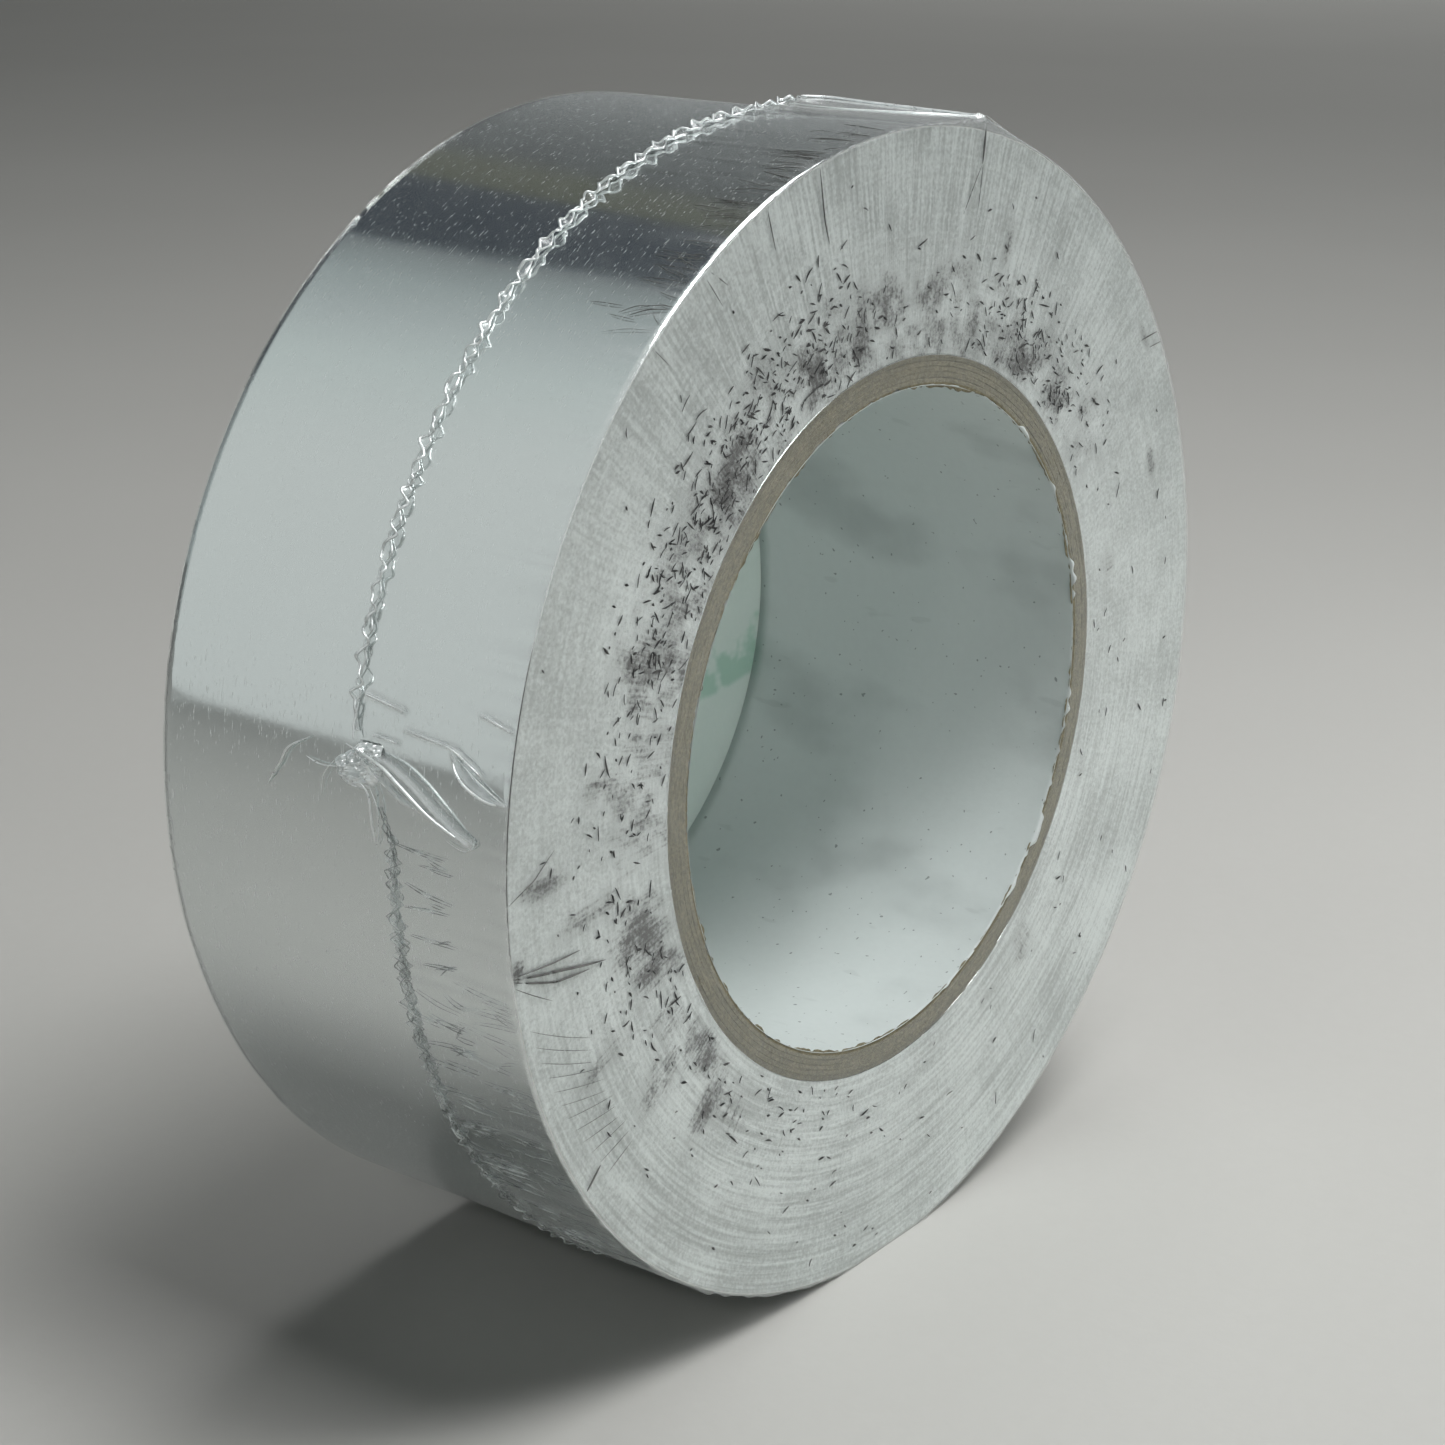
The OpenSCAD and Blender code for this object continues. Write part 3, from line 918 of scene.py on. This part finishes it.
def sheet_between(first, second, bulge):
    """Grid of film from one line to another of any length, bulging off the roll by some mm."""
    ends = np.linspace(0, 1, 40)
    first, second = respaced(first, ends), respaced(second, ends)
    rows = []
    for share in np.linspace(0, 1, 7):
        row = first * (1 - share) + second * share
        outward = row * np.array([1, 0, 1])
        outward = outward / np.linalg.norm(outward, axis=1)[:, None]
        rows.append(row + outward * bulge * MM * math.sin(math.pi * share) * np.sin(math.pi * ends)[:, None])
    return np.stack(rows, axis=1)


def pleats(seed, count, from_degrees, to_degrees, start_mm, longest_mm, radius):
    """Short fine folds across the rim, each from just behind start_mm towards the rear."""
    dice = np.random.default_rng(seed)
    lines = []
    for _ in range(count):
        degrees, first = dice.uniform(from_degrees, to_degrees), start_mm + dice.exponential(0.8)
        length, slant = dice.uniform(0.25, 1) * longest_mm, dice.normal(0, 0.7)
        stops = [(degrees, first, 0.02), (degrees + 0.3 * slant, first + length / 2, 0.08),
                 (degrees + slant, first + length, -0.05)]
        lines.append((fold_line(stops, 6), radius * dice.uniform(0.6, 1.4)))
    return strands(lines)


def knot(seed, degrees, mm, length, breadth, height):
    """Crumpled mound of film, as a grid over the rim: sharp ridges on a low hump."""
    u, v = np.linspace(-1, 1, 90)[None, :], np.linspace(-1, 1, 70)[:, None]
    turn = math.radians(degrees) + 0.5 * u * length * MM / film_r
    depth = mm * MM + 0.5 * v * breadth * MM
    edge = 1 + 0.5 * rough(seed, 9, 1, np.arctan2(v, u), 0)
    hump = np.clip(1 - (u * u + v * v) / edge ** 2, 0, 1) ** 0.8
    sharp = 1 - 2 * np.abs(rough(seed + 1, 900, 10, turn, (v + 1) / 2))
    fine = 1 - 2 * np.abs(rough(seed + 2, 2200, 22, turn, (v + 1) / 2))
    sunk_border = 0.35 * (1 - hump) ** 4
    lift = height * hump * (0.55 + 0.45 * sharp + 0.25 * fine) - sunk_border
    return polar(film_surface(turn, depth) + (0.06 + lift) * MM, turn, front_y + depth)


def bunch(name, node, lines, crumple, sheets=()):
    """White folds and knot of a corner as one piece, and its thin sheets as another."""
    finish_piece(merged(name, strands(lines) + [(crumple, False)]), bunch_lit_finish, "film_seal", node)
    if sheets:
        flaps = merged(name + "_flaps", [(sheet, False) for sheet in sheets])
        finish_piece(flaps, fin_finish, "film_seal")


leaf_top = fold_line([
    (170.1, 21, 0.7), (170.9, 15.8, 1.5), (172.1, 12.7, 1.7), (174.1, 8.8, 1.4), (176, 4.4, 0.5)])
leaf_foot = fold_line([
    (172.7, 16.5, 0.2), (173.9, 13.7, 0.1), (174.4, 10.1, 0.1), (175.1, 7.8, 0.1), (176.1, 4.5, 0.3)])
edge_fold = fold_line([
    (168.8, 7.4, 0.1), (169.9, 6.6, 0.5), (170.9, 5, 0.8), (171.8, 2.4, 0.5), (171.8, 0.2, 0.1)])
edge_foot = fold_line([
    (168.7, 7.3, 0.1), (169.4, 5.8, 0.2), (170.2, 4.2, 0.2), (171.3, 1.6, 0.1), (171.8, 0.2, 0.1)])
rear_arc = fold_line([(170.5, 26.5, 0.1), (171.9, 29.3, 0.3), (173.5, 30.5, 0.2), (175.8, 32.4, 0)])
short_folds = [
    ([(175.2, 3.9, 0.1), (176, 3.9, 0.3), (176.6, 5.2, 0.3), (176.2, 7.6, 0.1)], 0.06),
    ([(167.8, 13.8, 0), (168, 10, 0.3), (168.3, 7.4, 0.4), (169.2, 4.9, 0.4), (169.9, 3.6, 0.1)], 0.11),
    ([(164.9, 4.5, 0), (165.2, 2.7, 0.3), (165.7, 0.4, 0.1)], 0.13),
    ([(165.6, 19.5, 0.3), (165.9, 17, 0.3), (166.2, 14.5, 0)], 0.1),
    ([(168.9, 17.9, 0.3), (168.9, 16.3, 0.3), (169.1, 14.8, 0)], 0.08),
    ([(172.3, 27, 0), (172.6, 24.7, 0.3), (172.3, 22, 0.5)], 0.09),
    ([(173, 19, 0.7), (174, 17.8, 0.5), (176.4, 17.4, 0.3), (178.2, 17.2, 0.1)], 0.12),
    ([(173.2, 17.6, 0.6), (175, 16.6, 0.4), (177.2, 16.6, 0.2), (178.6, 17, 0.1)], 0.08),
    ([(171.8, 22.6, 0.4), (173.4, 24.2, 0.3), (175.4, 24.8, 0)], 0.06),
    ([(169.6, 20.2, 0.6), (168.2, 20.4, 0.4), (166.4, 20.2, 0.3)], 0.12),
]
left_lines = [(leaf_top, 0.2), (leaf_foot, 0.09), (edge_fold, 0.17), (edge_foot, 0.07), (rear_arc, 0.12)]
left_lines += [(fold_line(stops), radius) for stops, radius in short_folds]
left_knot = knot(131, 171.7, 19.9, 4.8, 6.4, 1.2)
bunch("left_bunch", "left_corner", left_lines, left_knot,
      [sheet_between(leaf_top, leaf_foot, 0.3), sheet_between(edge_fold, edge_foot, 0.2)])

ridge = fold_line([(82.5, 20.6, 0.3), (80.6, 18, 0.1), (79.6, 12, 0.05), (78.2, 5, 0.05), (77.2, -0.1, 0.1)])
ridge_foot = fold_line([(85.5, 19.5, 0.1), (84, 13, 0), (81.5, 7, 0), (79, 3, 0), (77.4, -0.1, 0)])
top_lines = [
    (ridge, 0.16), (ridge_foot, 0.1),
    (fold_line([(77.2, -0.2, 0.1), (72, 0.2, 0), (66, 0.1, 0)]), 0.07),
    (fold_line([(77.2, 0, 0), (73.5, 3.5, 0), (69, 8, 0), (66.5, 12, 0)]), 0.06),
]
bunch("top_dog_ear", "top_corner", top_lines, knot(141, 77.4, 0.6, 1.6, 1.6, 0.35))


def rim_middle(node):
    """Degrees round the roll, and mm behind its front face, of the middle of a node."""
    low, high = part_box(node)
    degrees = math.degrees(math.atan2(low.z + high.z, low.x + high.x))
    return degrees, ((low.y + high.y) / 2 - front_y) / MM


right_degrees, right_mm = rim_middle("right_corner")
spread = np.random.default_rng(151)
right_folds = 9
right_lines = []
for number in range(right_folds):
    aim = 2 * math.pi * number / right_folds + spread.uniform(-0.25, 0.25)
    reach_mm, twist = spread.uniform(5, 11), spread.uniform(-0.35, 0.35)
    stops = []
    for share in (0.15, 0.45, 0.75, 1.0):
        lean = aim + twist * share
        stops.append((right_degrees + reach_mm * share * math.cos(lean) * 0.85,
                      right_mm + reach_mm * share * math.sin(lean), 0.6 * (1 - share)))
    right_lines.append((fold_line(stops), 0.12))
right_knot = knot(152, right_degrees, right_mm, 7, 6, 1.3)
right_sheet = sheet_between(right_lines[0][0], right_lines[1][0], 0.2)
bunch("right_bunch", "right_corner", right_lines, right_knot, [right_sheet])
bunch("foot_bunch", "bottom_corner", [], knot(161, *rim_middle("bottom_corner"), 12, 6, 0.12))


# ---- Creases in the face film --------------------------------------------------------------------
# Over the flat face the film is tight, apart from a few sharp creases. They run in from the front
# edge, each drawn as a thin dark line that is a painted shadow of the crease.


face_line_lift = 0.2 * MM


def face_line(stops):
    """Line over the face film through (degrees, mm from the bore's axis) stops."""
    stops = np.array(stops, float)
    share, ends = np.linspace(0, 1, 16), np.linspace(0, 1, len(stops))
    turn = np.radians(np.interp(share, ends, stops[:, 0]))
    out = np.interp(share, ends, stops[:, 1]) * MM
    return polar(out, turn, front_y - face_line_lift)


def painted_crease_shadow():
    """Painted shadow held in a crease, dark grey and half see-through."""
    crease_shade = Finish("painted_crease_shadow")
    patchy = crease_shade.noise(crease_shade.place, 600.0, 2.0)
    base = crease_shade.blend(patchy, (0.03, 0.03, 0.03, 1), (0.2, 0.2, 0.19, 1))
    body = crease_shade.principled({"Base Color": base, "Roughness": 0.4 + patchy * 0.2})
    return see_through(crease_shade, crease_shade.between(patchy, 0.25, 0.5), (1, 1, 1, 1), body)


# Each crease: its stops, and its radius in mm.
creases = [
    ([(77, 67.0), (76.7, 63.2)], 0.11), ([(76.6, 63.2), (76.2, 58.5)], 0.05),
    ([(76.8, 63), (79, 57.5)], 0.05), ([(104.2, 66.5), (104.6, 61), (104.4, 58.4)], 0.08),
    ([(112.4, 66.4), (112.7, 62)], 0.06), ([(121.5, 66.2), (120.2, 63.4)], 0.06),
    ([(122.3, 66), (121.8, 62.2)], 0.05), ([(131, 66.3), (130.6, 63.6)], 0.05),
    ([(187.3, 66.9), (189.5, 60), (192, 53.5)], 0.16), ([(187.6, 66.8), (190.3, 61), (191.6, 56)], 0.12),
    ([(187.1, 66.9), (188.2, 61), (188.8, 57)], 0.1), ([(188.2, 66.8), (191.8, 62)], 0.05),
    ([(180.5, 66.8), (179.2, 63), (177, 60)], 0.06), ([(212.8, 66.4), (212.3, 63.4)], 0.11),
    ([(158, 67.05), (166, 67.05), (174, 67.05), (187, 67)], 0.06),
    ([(33, 66.5), (34.5, 63)], 0.08), ([(31.5, 66.6), (32.6, 64)], 0.06),
]
for number in range(12):
    outer_stop = (193 + 1.9 * number, 65.8 - 0.25 * number)
    inner_stop = (199 + 1.4 * number, 58 + 0.3 * (number % 3))
    creases.append(([outer_stop, inner_stop], 0.035))
# The face creases and the dark creases at the front edge take this painted crease shadow.
crease_shadow_finish = painted_crease_shadow()
crease_strands = strands([(face_line(stops), radius) for stops, radius in creases])
seal_pleat_start = seal_middle["lower_left_seal"] / MM - 8
# The seal pleats and the front edge pleats, low on the left, take the seal film darkened as painted shade.
loose_film = [
    ("face_film_creases", crease_strands, crease_shadow_finish, "shrink_film"),
    ("front_edge_creases", pleats(181, 70, 92, 130, 0.1, 6.5, 0.04), crease_shadow_finish, "shrink_film"),
    ("seal_pleats", pleats(182, 80, 176, 250, seal_pleat_start, 7.5, 0.05), shaded_seal_finish, "film_seal"),
    ("front_edge_pleats", pleats(183, 60, 190, 256, 0.2, 9, 0.035), shaded_seal_finish, "film_seal"),
]
for name, grids, material, slot in loose_film:
    finish_piece(merged(name, grids), material, slot)


# ---- Floor, light and camera ---------------------------------------------------------------------
# A plain pale floor that the roll stands on, three soft lamps overhead, weaker ones for the face,
# the bore, the seal and the floor behind, and a room whose darker side shows in the foil.


def studio_floor():
    """Pale, slightly mottled matt floor."""
    floor_paint = Finish("studio_floor")
    cloud = floor_paint.noise(floor_paint.place, 6.0, 3.0)
    grain = floor_paint.noise(floor_paint.place, 420.0, 3.0)
    base = floor_paint.blend(cloud * 0.6 + grain * 0.3, (0.5, 0.5, 0.475, 1), (0.58, 0.58, 0.555, 1))
    return floor_paint.done(floor_paint.principled({
        "Base Color": base, "Roughness": 0.5 + grain * 0.15, "Normal": floor_paint.bump(grain, 0.00004)}))


near_end, far_end = -0.75, 9.0
floor_mesh = bpy.data.meshes.new("studio_floor")
corners = [(near_end, near_end), (far_end, near_end), (far_end, far_end), (near_end, far_end)]
floor_mesh.from_pydata([(*corner, floor_z) for corner in corners], [], [(0, 1, 2, 3)])
floor = placed("studio_floor", floor_mesh)
dress(floor, studio_floor())
floor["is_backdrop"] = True


def aimed(made, place, direction):
    """Puts a lamp or the camera in its place and turns it to look along a direction."""
    made.location = place
    made.rotation_euler = Vector(direction).to_track_quat("-Z", "Y").to_euler()


def lit(name, kind, settings, place, target, mirrored=False):
    """Lamp that faces its target. The camera never sees it, and the foil only if mirrored."""
    lamp = bpy.data.lights.new(name, kind)
    for key, value in settings.items():
        setattr(lamp, key, value)
    stand = placed(name, lamp)
    aimed(stand, place, Vector(target) - Vector(place))
    stand.visible_camera = False
    stand.visible_glossy = mirrored


# Square lamps: place, target, side in metres, watts, and whether the foil mirrors them.
soft_lamps = {
    "key_light": ((0.0, -0.34, 0.94), (0, 0, 0), 0.4, 4.6, True),
    "front_right_light": ((0.2, -0.38, 0.9), (0, 0, 0), 0.4, 3.3, True),
    "right_light": ((0.32, 0.1, 0.94), (0, 0, 0), 0.4, 2.0, True),
    "near_light": ((0.26, -0.25, 0.12), (0.03, -0.03, 0), 0.12, 0.36, False),
    "far_light": ((2.1, 0.8, 1.0), (2.1, 0.8, 0), 1.0, 8.0, False),
}
for name, (place, target, side, watts, mirrored) in soft_lamps.items():
    lit(name, "AREA", {"size": side, "energy": watts}, place, target, mirrored)

# Narrow lamps that leave the roll's shadow dark: place, target, angle in degrees, watts.
narrow_lamps = {
    "bore_spot": ((-0.22, -0.38, 0.06), (0.014, 0, -0.006), 11, 3.4),
    "deep_bore_spot": ((0.04, -0.45, 0.2), (0.0, 0.0, -0.004), 9, 0.3),
    "seal_spot": ((-0.5, -0.2, 0.35), (-0.062, -0.006, 0.014), 8, 3.6),
}
for name, (place, target, degrees, watts) in narrow_lamps.items():
    beam = {"spot_size": math.radians(degrees), "spot_blend": 0.7, "energy": watts, "shadow_soft_size": 0.05}
    lit(name, "SPOT", beam, place, target)

# Walls of the room by degrees from +Y towards +X: pale, a soft edge, dark blue, olive, grey, pale.
PALE, NAVY, OLIVE, GREY = (0.58, 0.61, 0.6), (0.01, 0.018, 0.03), (0.06, 0.064, 0.04), (0.04, 0.048, 0.048)
bearings = [
    (-180, PALE), (-35, PALE), (-20, (0.5, 0.55, 0.54)), (-10, (0.4, 0.44, 0.44)), (0, (0.3, 0.34, 0.34)),
    (9.5, (0.16, 0.18, 0.185)), (10.5, NAVY), (28, NAVY), (29.5, OLIVE), (34, OLIVE),
    (38, (0.03, 0.036, 0.038)), (52, GREY), (150, GREY), (180, PALE),
]
backdrop = (0.32, 0.325, 0.3, 1)


def studio_room():
    """Walls that the foil mirrors, and a plain backdrop where the camera looks past the floor."""
    room = Finish("studio_room", "worlds", "Generated")
    bearing = room.maths("ARCTAN2", room.part("X"), room.part("Y"))
    turn = room.node("ShaderNodeMapRange", {}, {"Value": bearing, "From Min": -math.pi, "From Max": math.pi})
    stops = [((degrees + 180) / 360, colour) for degrees, colour in bearings]
    walls = room.node("ShaderNodeValToRGB", {"stops": stops}, {0: turn})
    seen = room.node("ShaderNodeLightPath", {}, {}, "Is Camera Ray")
    glow = room.node("ShaderNodeBackground", {}, {"Color": room.blend(seen, walls, backdrop)})
    return room.done(glow, "ShaderNodeOutputWorld")


bpy.context.scene.world = studio_room()
bpy.context.scene.world.cycles_visibility.diffuse = False

camera_data = bpy.data.cameras.new("camera")
camera_data.lens = 73.5
camera_data.sensor_width = 36.0
camera_data.clip_start = 0.01
camera = placed("camera", camera_data)
aimed(camera, (-0.264, -0.20135, 0.1086), (0.75112, 0.57549, -0.32347))
bpy.context.scene.camera = camera
bpy.context.scene.view_settings.view_transform = "Standard"

visual_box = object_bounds()
sizes = {"cad": [list(corner) for corner in cad_box], "visual": [list(corner) for corner in visual_box]}
